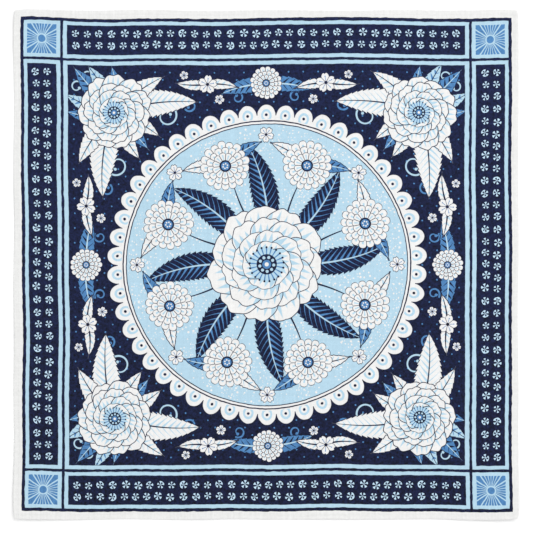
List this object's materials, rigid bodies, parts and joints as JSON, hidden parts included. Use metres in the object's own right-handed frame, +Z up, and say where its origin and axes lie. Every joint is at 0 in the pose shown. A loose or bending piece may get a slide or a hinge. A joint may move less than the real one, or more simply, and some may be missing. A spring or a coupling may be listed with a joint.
{
  "type": "bandana",
  "caption": "Square printed cotton bandana with a narrow turned hem, lying flat with its corners slightly lifted.",
  "frame": {"origin": "on the surface the cloth lies on, under the middle of its outline", "axes": "+Z up through the cloth's thickness, +X towards its right side and +Y towards its top side as the print is seen"},
  "size_m": [0.5302, 0.5354, 0.0065],
  "materials": {
    "printed_cotton": "matt plain-weave cotton, printed in navy, mid blue and light blue on white"
  },
  "bodies": {
    "root": {"cloth": "printed_cotton"}
  },
  "joints": []
}
